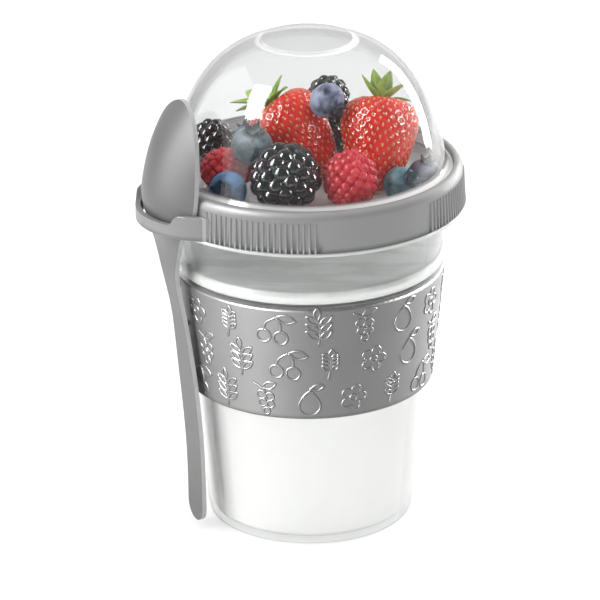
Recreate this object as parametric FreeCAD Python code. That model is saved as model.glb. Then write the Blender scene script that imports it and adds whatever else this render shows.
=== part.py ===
"""Yogurt cup to go: a clear tapered cup of yogurt in a soft sleeve, a screw ring that holds a
spoon, a tray of fresh berries on the cup's mouth and a clear dome over them.

Millimetres, +Z up. The origin is the centre of the foot, on the surface the cup stands on.
The front is -Y. The spoon hangs on the left of the front, in the ring's holder.
"""

import os
from math import atan2, cos, degrees, hypot, pi, sin, sqrt

import FreeCAD
import Part
from FreeCAD import Vector

# Overall sizes: the rest of the cup, the ring, the dome and the heap follow these two.
NECK_R = 45.1
MOUTH_Z = 110.8

# Cup: an injection-moulded clear cup with a lower body, a ledge, a wider band and a neck.
FOOT_R = NECK_R - 12.9
FOOT_ROUND = 1.2
FOOT_RECESS_R = FOOT_R - 7.2
FOOT_RECESS = 0.6
LEDGE_R = NECK_R - 5.8
LEDGE_Z = MOUTH_Z - 27.6
BAND_R = NECK_R - 2.8
NECK_DROP = 1.5
WALL = 1.5
FLOOR = 2.0

# Sleeve: a soft grey band pushed up under the ledge.
SLEEVE_H = 37.9
SLEEVE_LIP = 0.9
SLEEVE_GAP = 0.1

# Yogurt: fills the cup up to a softly stirred surface a little above the ledge.
YOGURT_RISE = 4.8
SWIRL = 0.7
SWIRL_TURNS = 2.2

# Screw ring with ribbed grips.
RING_WALL = 3.1
RING_GAP = 0.2
RING_REACH = 8.2
RING_LIP = 0.7
RING_LIP_H = 1.1
RING_H = 13.4
RING_TAPER = 0.7
RING_SHOULDER = 2.6
RING_SEAT = 1.9
GRIP_GROUPS = 4
GRIP_RIBS = 21
GRIP_SPAN = 42.0
GRIP_RIB_R = 0.42
GRIP_RIB_H = 9.2

# Spoon holder: a strap that bows out from the ring between two grips.
HOLDER_ANGLE = 63.5
HOLDER_PLAY = 0.4
HOLDER_R = 22.9
HOLDER_WALL = 1.6
HOLDER_H = 7.6
HOLDER_RISE = 0.9
HOLDER_DIP = 3.4
HOLDER_DIP_HALF = 12.6
HOLDER_SHOULDER = 1.5

# Tray under the berries and dome over them.
TRAY_WALL = 1.1
TRAY_DEPTH = 1.4
DOME_WALL = 1.2
DOME_FLANGE = 1.4
DOME_GAP = 0.2
DOME_SEAT = 1.2
DOME_FLARE = 0.9
DOME_STEP = 2.2
DOME_RISE = 0.887 * NECK_R
DOME_SQUARENESS = 2.81
DOME_SKIRT = 38.0
DISC_R = 14.4
DISC_H = 0.8

# Spoon: a deep pointed bowl on a slim handle that follows the side of the cup.
SPOON_WALL = 1.4
SPOON_END_Z = 2.4
SPOON_BOWL_RISE = 9.4
SPOON_BOWL_H = 30.0
SPOON_HALF_W = 16.7
SPOON_DEPTH = 7.5
SPOON_RIM_GAP = 0.15
SPOON_LEAN = 0.095
SPOON_HOOK = 0.002
HANDLE_HALF_W = 5.2
HANDLE_WAIST_HALF_W = 4.0
HANDLE_SIDE_GAP = 2.3

# Berries: the heap is laid out for a tray and dome of this inner radius, and scales with them.
HEAP_R = 41.4
SETTLE = 0.1
LEAF_THICK = 0.6
DRUPE_RINGS = 15
DRUPE_MERIDIANS = 26

CUP_TAPER = (LEDGE_R - FOOT_R) / LEDGE_Z
SLEEVE_BOTTOM_Z = LEDGE_Z - SLEEVE_H
YOGURT_Z = LEDGE_Z + YOGURT_RISE
RING_BOTTOM_Z = MOUTH_Z - RING_REACH
HOLDER_BOW = SPOON_DEPTH + HOLDER_PLAY
RING_BORE_R = NECK_R + RING_GAP
RING_R = RING_BORE_R + RING_WALL
RING_TOP_Z = RING_BOTTOM_Z + RING_H
TRAY_RIM_Z = MOUTH_Z + TRAY_WALL
TRAY_FLOOR_Z = MOUTH_Z - TRAY_DEPTH
TRAY_WELL_R = NECK_R - WALL - 0.4 - TRAY_WALL
DOME_SEAT_Z = TRAY_RIM_Z + DOME_SEAT
RING_MOUTH_R = RING_BORE_R - 0.3
DOME_FLANGE_R = RING_MOUTH_R - DOME_GAP
DOME_R = DOME_FLANGE_R - DOME_STEP
DOME_IN_R = DOME_R - DOME_WALL
SPOON_BOWL_LOW_Z = RING_BOTTOM_Z + SPOON_BOWL_RISE
SPOON_TIP_Z = SPOON_BOWL_LOW_Z + SPOON_BOWL_H
SPOON_RIM_REACH = sqrt((RING_R + SPOON_RIM_GAP) ** 2 - SPOON_HALF_W**2) + SPOON_WALL


def sleeve_r(z):
    """Outer radius of the sleeve's cone, flush with the band at the ledge."""
    thickness = BAND_R - LEDGE_R
    return body_r(z) + thickness - 0.4 * (LEDGE_Z - z) / (LEDGE_Z - SLEEVE_BOTTOM_Z)


def body_r(z):
    """Outer radius of the cup's lower body."""
    return FOOT_R + CUP_TAPER * z


def band_r(z):
    """Outer radius of the clear band between the ledge and the neck."""
    return BAND_R + CUP_TAPER * (z - LEDGE_Z)


def outline(corners):
    """Closed wire in the XZ plane through (radius, height, rounding) corners."""
    points = [Vector(r, 0, z) for r, z, _ in corners]
    runs = []
    for index, (_, _, rounding) in enumerate(corners):
        corner = points[index]
        back = points[index - 1].sub(corner).normalize()
        on = points[(index + 1) % len(points)].sub(corner).normalize()
        if rounding == 0:
            runs.append((corner, None, corner))
            continue
        half = back.getAngle(on) / 2
        reach = rounding / abs(sin(half) / cos(half))
        middle = (back + on).normalize().multiply(rounding / sin(half) - rounding)
        runs.append((corner + back * reach, corner + middle, corner + on * reach))
    edges = []
    for index, (start, middle, end) in enumerate(runs):
        if middle is not None:
            edges.append(Part.Arc(start, middle, end).toShape())
        following = runs[(index + 1) % len(runs)][0]
        edges.append(Part.makeLine(end, following))
    return Part.Wire(edges)


def turned(wire):
    """Solid of revolution about the cup's axis."""
    return Part.Face(wire).revolve(Vector(0, 0, 0), Vector(0, 0, 1), 360)


def cup():
    """Thin-walled cup: recessed foot, tapered body, ledge, band and neck."""
    floor_z = FOOT_RECESS + FLOOR
    ledge_top = LEDGE_Z + WALL
    neck_z = RING_BOTTOM_Z + NECK_DROP
    outside = [
        (0, FOOT_RECESS, 0),
        (FOOT_RECESS_R, FOOT_RECESS, 0),
        (FOOT_RECESS_R + FOOT_RECESS, 0, 0),
        (FOOT_R, 0, FOOT_ROUND),
        (LEDGE_R, LEDGE_Z, 0.4),
        (BAND_R, LEDGE_Z, 0.5),
        (band_r(neck_z), neck_z, 0.8),
        (NECK_R, neck_z + NECK_DROP, 0.6),
        (NECK_R, MOUTH_Z, 0.4),
    ]
    return turned(outline(outside + inside_corners(floor_z, ledge_top, neck_z)))


def inside_corners(floor_z, ledge_top, neck_z):
    """Corners of the cup's inner wall, from the mouth down to the middle of the floor."""
    return [
        (NECK_R - WALL, MOUTH_Z, 0.4),
        (NECK_R - WALL, neck_z + NECK_DROP + WALL / 2, 0.6),
        (band_r(neck_z) - WALL, neck_z + WALL / 2, 0.8),
        (BAND_R - WALL, ledge_top, 0.4),
        (LEDGE_R - WALL, ledge_top - 0.3, 0.5),
        (body_r(floor_z) - WALL, floor_z, FOOT_ROUND),
        (0, floor_z, 0),
    ]


def yogurt():
    """Filling that meets the cup's inner wall, under a gently stirred surface."""
    floor_z = FOOT_RECESS + FLOOR
    ledge_top = LEDGE_Z + WALL
    neck_z = RING_BOTTOM_Z + NECK_DROP
    top_z = YOGURT_Z + 3 * SWIRL
    share = (top_z - ledge_top) / (neck_z + WALL / 2 - ledge_top)
    wall_r = BAND_R - WALL + share * (band_r(neck_z) - BAND_R)
    body = turned(
        outline(
            [
                (0, floor_z, 0),
                (body_r(floor_z) - WALL, floor_z, FOOT_ROUND),
                (LEDGE_R - WALL, ledge_top - 0.3, 0.5),
                (BAND_R - WALL, ledge_top, 0.4),
                (wall_r, top_z, 0),
                (0, top_z, 0),
            ]
        )
    )
    steps = 25
    reach = NECK_R
    rows = []
    for i in range(steps):
        x = reach * (2 * i / (steps - 1) - 1)
        row = []
        for j in range(steps):
            y = reach * (2 * j / (steps - 1) - 1)
            row.append(Vector(x, y, YOGURT_Z + stirred(x, y)))
        rows.append(row)
    surface = Part.BSplineSurface()
    surface.interpolate(rows)
    above = surface.toShape().extrude(Vector(0, 0, 6 * SWIRL))
    return body.cut(above)


def stirred(x, y):
    """Height of the stirred surface: a spiral wave that fades towards the middle."""
    r = hypot(x, y) / NECK_R
    wave = sin(SWIRL_TURNS * 2 * pi * r - atan2(y, x))
    return SWIRL * wave * min(1.0, 2.5 * r) * (1 - 0.5 * r)


def sleeve():
    """Soft band with a thin rolled lip along both edges."""
    top_z = LEDGE_Z - SLEEVE_GAP
    return turned(
        outline(
            [
                (body_r(SLEEVE_BOTTOM_Z) + SLEEVE_GAP, SLEEVE_BOTTOM_Z, 0.2),
                (sleeve_r(SLEEVE_BOTTOM_Z), SLEEVE_BOTTOM_Z, SLEEVE_LIP),
                (sleeve_r(top_z), top_z, SLEEVE_LIP),
                (body_r(top_z) + SLEEVE_GAP, top_z, 0.2),
            ]
        )
    )


def ring():
    """Screw ring: lipped, ribbed on four grips, with a seat for the dome and the spoon holder."""
    top_r = RING_R - RING_TAPER
    seat_in_r = RING_BORE_R - RING_SEAT
    body = turned(
        outline(
            [
                (RING_BORE_R, RING_BOTTOM_Z, 0.2),
                (RING_R + RING_LIP, RING_BOTTOM_Z, 0.4),
                (RING_R + RING_LIP, RING_BOTTOM_Z + RING_LIP_H, 0.4),
                (RING_R, RING_BOTTOM_Z + RING_LIP_H, 0),
                (top_r, RING_TOP_Z, RING_SHOULDER),
                (RING_MOUTH_R, RING_TOP_Z, 0.3),
                (RING_MOUTH_R, DOME_SEAT_Z, 0),
                (seat_in_r, DOME_SEAT_Z, 0.2),
                (seat_in_r, TRAY_RIM_Z, 0.2),
                (RING_BORE_R, TRAY_RIM_Z, 0),
            ]
        )
    )
    return body.fuse(grips() + [holder()]).removeSplitter()


def grips():
    """Rounded upright ribs in four groups, which leave room for the holder."""
    foot_z = RING_BOTTOM_Z + RING_LIP_H
    lean = degrees(atan2(RING_TAPER, RING_H - RING_LIP_H))
    ribs = []
    for group in range(GRIP_GROUPS):
        middle = HOLDER_ANGLE - 45 + 90 * group
        for rib in range(GRIP_RIBS):
            angle = middle + GRIP_SPAN * (rib / (GRIP_RIBS - 1) - 0.5)
            bar = Part.makeCylinder(GRIP_RIB_R, GRIP_RIB_H)
            bar.rotate(Vector(0, 0, 0), Vector(1, 0, 0), -lean)
            bar.translate(Vector(0, -RING_R + 0.05, foot_z))
            bar.rotate(Vector(0, 0, 0), Vector(0, 0, 1), -angle)
            ribs.append(bar)
    return ribs


def holder():
    """Strap bowed out from the ring, with a dip between its two raised shoulders."""
    bottom_z = RING_BOTTOM_Z + HOLDER_RISE
    centre = Vector(0, -(RING_R + HOLDER_BOW - HOLDER_R), bottom_z)
    outer = Part.makeCylinder(HOLDER_R, HOLDER_H, centre)
    brims = [edge for edge in outer.Edges if edge.Curve.TypeId == "Part::GeomCircle"]
    drop = Vector(0, 0, HOLDER_H)
    pocket = Part.makeCylinder(HOLDER_R - HOLDER_WALL, 3 * HOLDER_H, centre - drop)
    bore = Part.makeCylinder(RING_BORE_R + RING_WALL / 2, 3 * HOLDER_H, Vector(0, 0, bottom_z) - drop)
    strap = outer.makeFillet(0.5, brims).cut([pocket, bore])
    strap = strap.cut(dip(bottom_z + HOLDER_H - HOLDER_DIP, bottom_z + 2 * HOLDER_H))
    strap.rotate(Vector(0, 0, 0), Vector(0, 0, 1), -HOLDER_ANGLE)
    return strap


def dip(low_z, high_z):
    """Cutter for the lowered middle of the strap, with S-shaped ends."""
    half = HOLDER_DIP_HALF
    wide = half + HOLDER_SHOULDER
    crest_z = low_z + HOLDER_DIP
    ends = []
    for side in (1, -1):
        rise = Part.BezierCurve()
        rise.setPoles(
            [
                Vector(side * (half - HOLDER_SHOULDER), 0, low_z),
                Vector(side * (half + 0.6), 0, low_z),
                Vector(side * (wide - 1.4), 0, crest_z + 0.1),
                Vector(side * (wide + 1.5), 0, crest_z + 0.1),
            ]
        )
        ends.append(rise.toShape())
    wire = Part.Wire(
        Part.sortEdges(
            ends
            + [
                Part.makeLine(ends[1].valueAt(0), ends[0].valueAt(0)),
                Part.makeLine(Vector(wide + 1.5, 0, crest_z + 0.1), Vector(wide + 1.5, 0, high_z)),
                Part.makeLine(Vector(wide + 1.5, 0, high_z), Vector(-wide - 1.5, 0, high_z)),
                Part.makeLine(Vector(-wide - 1.5, 0, high_z), Vector(-wide - 1.5, 0, crest_z + 0.1)),
            ]
        )[0]
    )
    return Part.Face(wire).extrude(Vector(0, -2 * RING_R, 0))


def tray():
    """Clear shallow tray that hangs in the cup's mouth and carries the berries."""
    rim_r = NECK_R
    return turned(
        outline(
            [
                (0, TRAY_FLOOR_Z - TRAY_WALL, 0),
                (TRAY_WELL_R + TRAY_WALL, TRAY_FLOOR_Z - TRAY_WALL, 0.8),
                (TRAY_WELL_R + TRAY_WALL, MOUTH_Z, 0.2),
                (rim_r, MOUTH_Z, 0.2),
                (rim_r, TRAY_RIM_Z, 0.3),
                (TRAY_WELL_R, TRAY_RIM_Z, 0.4),
                (TRAY_WELL_R, TRAY_FLOOR_Z, 0.8),
                (0, TRAY_FLOOR_Z, 0),
            ]
        )
    )


def dome_point(turn, inset):
    """Point of the dome's profile: a superellipse quarter, moved inwards by a wall."""
    power = 2 / DOME_SQUARENESS
    girth = DOME_R * 1.058
    height = DOME_RISE + DOME_SKIRT
    low_z = RING_TOP_Z - DOME_SKIRT
    r = girth * cos(turn) ** power
    z = low_z + height * sin(turn) ** power
    slope_r = (r / girth) ** (DOME_SQUARENESS - 1) / girth
    slope_z = ((z - low_z) / height) ** (DOME_SQUARENESS - 1) / height
    steep = hypot(slope_r, slope_z)
    return Vector(r - inset * slope_r / steep, 0, z - inset * slope_z / steep)


def dome_curve(inset, low_r_height, high_r):
    """Profile curve from a height above the ring up to a radius below the flat disc."""
    count = 16
    low_turn = 0.05
    while dome_point(low_turn, inset).z < low_r_height:
        low_turn += 0.002
    high_turn = low_turn
    while dome_point(high_turn, inset).x > high_r:
        high_turn += 0.002
    points = []
    for index in range(count):
        points.append(dome_point(low_turn + (high_turn - low_turn) * index / (count - 1), inset))
    curve = Part.BSplineCurve()
    curve.interpolate(points)
    return curve.toShape()


def dome():
    """Clear shell with a seated flange and a flat raised disc on top."""
    skirt_z = RING_TOP_Z + 0.4
    outer = dome_curve(0, skirt_z, DISC_R + 1.0)
    inner = dome_curve(DOME_WALL, skirt_z, DISC_R)
    crown = outer.valueAt(outer.LastParameter)
    ceiling = inner.valueAt(inner.LastParameter)
    disc_z = crown.z + DISC_H
    low_out = outer.valueAt(outer.FirstParameter)
    low_in = inner.valueAt(inner.FirstParameter)
    path = [
        crown,
        Vector(DISC_R, 0, crown.z + 0.1),
        Vector(DISC_R - 0.25, 0, disc_z - 0.1),
        Vector(DISC_R - 0.7, 0, disc_z),
        Vector(0, 0, disc_z),
        Vector(0, 0, ceiling.z + 0.2),
        Vector(DISC_R - 1.6, 0, ceiling.z + 0.2),
        ceiling,
    ]
    foot = [
        low_in,
        Vector(DOME_IN_R, 0, DOME_SEAT_Z + DOME_FLANGE),
        Vector(DOME_IN_R, 0, DOME_SEAT_Z),
        Vector(DOME_FLANGE_R, 0, DOME_SEAT_Z),
        Vector(DOME_FLANGE_R, 0, DOME_SEAT_Z + DOME_FLANGE),
        Vector(DOME_FLANGE_R - DOME_FLARE, 0, DOME_SEAT_Z + DOME_FLANGE + 0.3),
        low_out,
    ]
    edges = [outer, inner]
    for points in (path, foot):
        for start, end in zip(points, points[1:]):
            edges.append(Part.makeLine(start, end))
    return turned(Part.Wire(Part.sortEdges(edges)[0]))


def bowl_half_width(rise):
    """Half width of the pointed bowl at a share of the way from its widest place to the tip."""
    return SPOON_HALF_W * max(0.0, 1 - rise**2.477) ** 0.552


def spoon_stations():
    """Rows of the spoon's outer face: (height, reach from the axis, curl across it)."""
    bowl_curl = SPOON_DEPTH / SPOON_HALF_W**2
    neck_z = RING_BOTTOM_Z
    waist_z = neck_z - 27.0
    neck_reach = RING_R + RING_LIP + SPOON_WALL + 0.9
    side = HANDLE_SIDE_GAP + SPOON_WALL
    stations = [
        (SPOON_END_Z - 4, sleeve_r(SPOON_END_Z) + side + 2.1, 0),
        (SPOON_END_Z, sleeve_r(SPOON_END_Z) + side + 2.1, 0),
        (24.0, sleeve_r(24.0) + side + 0.3, 0),
        (SLEEVE_BOTTOM_Z, sleeve_r(SLEEVE_BOTTOM_Z) + side - 0.3, 0),
        (waist_z - 14.0, sleeve_r(waist_z - 14.0) + side - 0.1, 0),
        (waist_z, sleeve_r(waist_z) + side + 0.5, 0),
        (neck_z - 14.0, neck_reach - 3.2, 0.1 * bowl_curl),
        (neck_z - 6.0, neck_reach - 2.0, 0.3 * bowl_curl),
        (neck_z + 0.6, neck_reach + 0.08 * SPOON_DEPTH, 0.6 * bowl_curl),
        (neck_z + 4.6, neck_reach + 0.307 * SPOON_DEPTH, 0.9 * bowl_curl),
    ]
    for rise in (0.0, 0.25, 0.45, 0.65, 0.8, 0.92, 1.0, 1.08):
        climb = rise * (SPOON_TIP_Z - SPOON_BOWL_LOW_Z)
        rim = SPOON_RIM_REACH - SPOON_LEAN * climb - SPOON_HOOK * climb**2
        reach = rim + bowl_curl * bowl_half_width(rise) ** 2
        stations.append((SPOON_BOWL_LOW_Z + climb, reach, bowl_curl))
    return stations


def spoon_sheet(inset):
    """One face of the spoon, wider than its outline, moved towards the cup by an inset."""
    across = [-1.2, -0.8, -0.4, 0.0, 0.4, 0.8, 1.2]
    rows = []
    for height, reach, curl in spoon_stations():
        row = []
        for share in across:
            side = share * SPOON_HALF_W
            row.append(Vector(side, -(reach - curl * side**2) + inset, height))
        rows.append(row)
    surface = Part.BSplineSurface()
    surface.interpolate(rows)
    return surface


def spoon_outline():
    """Closed front outline of the spoon: round handle end, waist, neck and pointed bowl."""
    neck_z = RING_BOTTOM_Z
    right = [
        (HANDLE_HALF_W, SPOON_END_Z + HANDLE_HALF_W),
        (HANDLE_HALF_W + 0.1, 30.0),
        (HANDLE_HALF_W, neck_z - 48.0),
        (HANDLE_WAIST_HALF_W, neck_z - 27.0),
        (HANDLE_WAIST_HALF_W + 1.2, neck_z - 14.5),
        (SPOON_HALF_W * 0.58, neck_z - 4.6),
        (SPOON_HALF_W * 0.78, neck_z + 0.6),
        (SPOON_HALF_W * 0.93, neck_z + 4.6),
        (SPOON_HALF_W, SPOON_BOWL_LOW_Z),
    ]
    for rise in (0.3, 0.5, 0.68, 0.82, 0.92, 0.98):
        climb = rise * (SPOON_TIP_Z - SPOON_BOWL_LOW_Z)
        right.append((bowl_half_width(rise), SPOON_BOWL_LOW_Z + climb))
    points = [Vector(x, 0, z) for x, z in right]
    points.append(Vector(0, 0, SPOON_TIP_Z))
    points += [Vector(-x, 0, z) for x, z in reversed(right)]
    side = Part.BSplineCurve()
    side.interpolate(points)
    end = Part.Arc(points[-1], Vector(0, 0, SPOON_END_Z), points[0])
    return Part.Wire([side.toShape(), end.toShape()])


def spoon():
    """Bowl and handle of even thickness, hung bowl up in the holder."""
    outer = spoon_sheet(0)
    inner = spoon_sheet(SPOON_WALL)
    faces = [outer.toShape(), inner.toShape()]
    for outer_edge, inner_edge in zip(faces[0].Edges, faces[1].Edges):
        faces.append(Part.makeRuledSurface(outer_edge, inner_edge))
    slab = Part.makeSolid(Part.makeShell(faces))
    prism = Part.Face(spoon_outline()).extrude(Vector(0, -2 * RING_R, 0))
    body = slab.common(prism)
    body.rotate(Vector(0, 0, 0), Vector(0, 0, 1), -HOLDER_ANGLE)
    return body


def blueberry(size):
    """Slightly flattened berry, radius size, with a five-pointed crown round its crater."""
    flat = 0.9
    crater = 0.34 * size
    low = size * flat
    start = Vector(0, 0, -low)
    curve = Part.BSplineCurve()
    points = [start]
    for step in range(1, 9):
        turn = -pi / 2 + step * (pi / 2 + 1.15) / 8
        points.append(Vector(size * cos(turn), 0, low * sin(turn)))
    curve.interpolate(points, False)
    shoulder = points[-1]
    rim = Vector(crater * 1.12, 0, low * 1.03)
    lip = Vector(crater * 0.92, 0, low * 1.03)
    dip_edge = Vector(crater * 0.8, 0, low * 0.84)
    dip_floor = Vector(0, 0, low * 0.8)
    edges = [curve.toShape()]
    chain = [shoulder, rim, lip, dip_edge, dip_floor, start]
    for one, other in zip(chain, chain[1:]):
        edges.append(Part.makeLine(one, other))
    berry = turned(Part.Wire(edges))
    notches = []
    for lobe in range(5):
        notch = Part.makeCylinder(0.13 * size, 2 * size, Vector(0, 0, low * 1.0), Vector(1, 0, 0))
        notch.rotate(Vector(0, 0, 0), Vector(0, 0, 1), 72 * lobe)
        notches.append(notch)
    return berry.cut(notches)


def strawberry(size):
    """Heart-shaped fruit with its tip down, radius size, under a star of leaves."""
    length = 2.4 * size
    profile = [
        (0.0, -0.56),
        (0.30, -0.52),
        (0.62, -0.30),
        (0.90, 0.02),
        (1.0, 0.24),
        (0.90, 0.40),
        (0.55, 0.46),
        (0.0, 0.42),
    ]
    points = [Vector(size * r, 0, length * z) for r, z in profile]
    curve = Part.BSplineCurve()
    curve.interpolate(Points=points, InitialTangent=Vector(1, 0, 0), FinalTangent=Vector(-1, 0, 0))
    wire = Part.Wire([curve.toShape(), Part.makeLine(points[-1], points[0])])
    fruit = turned(wire)
    leaves = []
    for index in range(6):
        blade = leaf(size * 0.85, size * 0.34)
        blade.rotate(Vector(0, 0, 0), Vector(0, 1, 0), -22 - 14 * (index % 2))
        blade.translate(Vector(0, 0, length * 0.41))
        blade.rotate(Vector(0, 0, 0), Vector(0, 0, 1), 60 * index + 8 * (index % 2))
        leaves.append(blade)
    stalk = Part.makeCylinder(0.09 * size, 0.3 * size, Vector(0, 0, length * 0.40))
    return fruit.fuse(leaves + [stalk])


def leaf(length, width):
    """Pointed leaf lying along +X from the stalk, as a thin plate."""
    tip = Vector(length, 0, 0)
    foot = Vector(0, 0, 0)
    edges = []
    for side in (1, -1):
        edges.append(Part.Arc(foot, Vector(length * 0.45, side * width / 2, 0), tip).toShape())
    plate = Part.Face(Part.Wire(edges)).extrude(Vector(0, 0, LEAF_THICK))
    plate.translate(Vector(-0.05 * length, 0, -LEAF_THICK / 2))
    return plate


def drupe_directions(count):
    """Even spread of drupelets over a ball, by the golden angle."""
    directions = []
    for index in range(count):
        height = 1 - 2 * (index + 0.5) / count
        around = sqrt(1 - height * height)
        turn = index * pi * (3 - sqrt(5))
        directions.append(Vector(around * cos(turn), around * sin(turn), height))
    return directions


def drupe_berry(size, tall, count, relief):
    """Aggregate berry: a ball of the given radius and height share, swollen into drupelets."""
    centres = drupe_directions(count)
    spread = 2.0 / sqrt(count)

    def skin(turn, lift):
        way = Vector(cos(lift) * cos(turn), cos(lift) * sin(turn), sin(lift))
        gap = min(way.getAngle(centre) for centre in centres) / spread
        reach = size * (1 - relief + relief * sqrt(max(0.0, 1 - min(1.0, gap) ** 2)))
        return Vector(way.x * reach, way.y * reach, way.z * reach * tall)

    low = skin(0, -pi / 2)
    high = skin(0, pi / 2)
    rings = []
    for ring_index in range(1, DRUPE_RINGS):
        lift = -pi / 2 + pi * ring_index / DRUPE_RINGS
        row = [skin(2 * pi * m / DRUPE_MERIDIANS, lift) for m in range(DRUPE_MERIDIANS)]
        rings.append(row)
    faces = []
    for m in range(DRUPE_MERIDIANS):
        n = (m + 1) % DRUPE_MERIDIANS
        faces.append(triangle(low, rings[0][n], rings[0][m]))
        faces.append(triangle(high, rings[-1][m], rings[-1][n]))
        for lower, upper in zip(rings, rings[1:]):
            faces.append(triangle(lower[m], lower[n], upper[n]))
            faces.append(triangle(lower[m], upper[n], upper[m]))
    shell = Part.makeShell(faces)
    shell.sewShape()
    return Part.makeSolid(shell)


def triangle(a, b, c):
    """Flat three-cornered face."""
    return Part.Face(Part.makePolygon([a, b, c, a]))


def bramble(size, tall):
    """Dark aggregate berry with large round drupelets."""
    return drupe_berry(size, tall, 34, 0.22)


def raspberry(size, tall):
    """Red aggregate berry with small close drupelets."""
    return drupe_berry(size, tall, 48, 0.14)


def laid(berry, place, axis):
    """Berry turned so that its own +Z points along an axis, and set at its place in the heap."""
    berry.Placement = FreeCAD.Placement(Vector(*place), FreeCAD.Rotation(Vector(0, 0, 1), Vector(*axis)))
    return berry


def heap():
    """All the berries: name, maker, its sizes, place (x, y, height above the tray) and axis."""
    layout = [
        ("strawberry_left", strawberry, (12.2,), (-3.6, -0.2, 15.2), (-0.50, 0.30, 0.80)),
        ("strawberry_right", strawberry, (12.0,), (21.6, -5.6, 15.3), (0.06, 0.42, 0.90)),
        ("bramble_front", bramble, (11.3, 0.96), (-6.6, -27.8, 10.9), (0.2, -0.2, 1.0)),
        ("raspberry_front", raspberry, (8.5, 1.12), (12.7, -26.9, 9.6), (0.1, -0.2, 1.0)),
        ("raspberry_left", raspberry, (8.4, 0.80), (-25.0, -9.8, 6.8), (0.2, -0.3, 1.0)),
        ("bramble_left", bramble, (6.9, 1.0), (-29.6, 17.2, 6.9), (0.0, 0.0, 1.0)),
        ("bramble_top", bramble, (6.9, 1.0), (6.7, 14.4, 21.9), (0.0, 0.0, 1.0)),
        ("dark_berry_low_left", blueberry, (5.9,), (-24.2, -25.9, 5.8), (-0.55, -0.75, 0.25)),
        ("dark_berry_left", blueberry, (6.4,), (-16.9, -14.7, 17.1), (0.1, -0.25, 0.95)),
        ("dark_berry_top", blueberry, (5.7,), (6.5, -8.2, 28.3), (0.62, -0.55, -0.45)),
        ("dark_berry_right", blueberry, (5.8,), (28.8, -20.2, 5.7), (0.65, -0.1, 0.75)),
        ("dark_berry_far_right", blueberry, (4.9,), (35.7, -6.8, 4.7), (0.0, 0.1, 1.0)),
        ("raspberry_back", raspberry, (7.6, 1.0), (-8.4, 22.4, 7.6), (0.0, 0.3, 1.0)),
        ("bramble_back", bramble, (8.5, 0.98), (9.2, 21.2, 8.3), (0.0, 0.3, 1.0)),
        ("dark_berry_back_left", blueberry, (4.7,), (-18.8, 27.4, 4.5), (-0.3, 0.5, 0.8)),
        ("dark_berry_back_right", blueberry, (5.4,), (24.2, 19.6, 5.1), (0.5, 0.5, 0.7)),
    ]
    scale = DOME_IN_R / HEAP_R
    berries = {}
    for name, maker, sizes, place, axis in layout:
        measures = (sizes[0] * scale,) + sizes[1:]
        x, y, height = (scale * value for value in place)
        berries[name] = laid(maker(*measures), (x, y, TRAY_FLOOR_Z + height + SETTLE), axis)
    return berries


def main():
    """Build every piece and write one STEP file for each."""
    pieces = {
        "cup": cup(),
        "yogurt": yogurt(),
        "sleeve": sleeve(),
        "ring": ring(),
        "tray": tray(),
        "dome": dome(),
        "spoon": spoon(),
    }
    pieces.update(heap())
    os.makedirs("parts", exist_ok=True)
    for name, shape in pieces.items():
        print(name, len(shape.Solids), shape.isValid(), round(shape.Volume / 1000, 2), "ml")
        shape.Solids[0].exportStep(os.path.join("parts", name + ".step"))


main()
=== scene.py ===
"""A clear yogurt cup in a grey sleeve, with a spoon in its screw ring and berries under a dome."""

import bpy
import numpy as np
from mathutils import Matrix, Vector


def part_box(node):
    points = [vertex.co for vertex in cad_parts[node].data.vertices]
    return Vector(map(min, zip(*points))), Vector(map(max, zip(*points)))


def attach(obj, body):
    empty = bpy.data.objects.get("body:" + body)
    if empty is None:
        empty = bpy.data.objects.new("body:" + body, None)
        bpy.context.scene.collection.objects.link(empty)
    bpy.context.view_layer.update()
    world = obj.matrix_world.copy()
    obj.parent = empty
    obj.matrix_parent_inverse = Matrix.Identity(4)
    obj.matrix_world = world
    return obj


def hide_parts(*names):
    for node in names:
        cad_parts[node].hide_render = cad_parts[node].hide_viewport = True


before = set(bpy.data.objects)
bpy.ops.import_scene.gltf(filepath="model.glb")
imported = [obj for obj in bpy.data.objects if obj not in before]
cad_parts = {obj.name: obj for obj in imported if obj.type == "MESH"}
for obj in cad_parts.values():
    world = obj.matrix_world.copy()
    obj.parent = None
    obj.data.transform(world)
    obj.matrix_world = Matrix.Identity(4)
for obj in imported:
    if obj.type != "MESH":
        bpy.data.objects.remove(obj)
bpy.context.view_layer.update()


# ---- Studio ----------------------------------------------------------------------------------
# A long lens looks a little down on the cup, which stands on white card. Soft boxes light it from
# the left, from the right behind it, from above and from the front. The haze, windows, strips and
# sparks give no light of their own: they only show as reflections.

CAMERA_FROM = Vector((0.0, -1.118063, 0.525815))
CAMERA_ALONG = Vector((-0.00230548, 0.92575233, -0.37812339))
CAMERA_UP = Vector((0.00786535, 0.37812949, 0.9257193))

lens = bpy.data.cameras.new("camera")
lens.lens = 231.72
lens.sensor_width = 36.0
lens.clip_end = 20.0
camera = bpy.data.objects.new("camera", lens)
camera_right = CAMERA_ALONG.cross(CAMERA_UP).normalized()
turn = Matrix((camera_right, CAMERA_UP, -CAMERA_ALONG)).transposed()
camera.matrix_world = Matrix.Translation(CAMERA_FROM) @ turn.to_4x4()
bpy.context.scene.collection.objects.link(camera)
bpy.context.scene.camera = camera
bpy.context.scene.view_settings.view_transform = "Standard"


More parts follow.
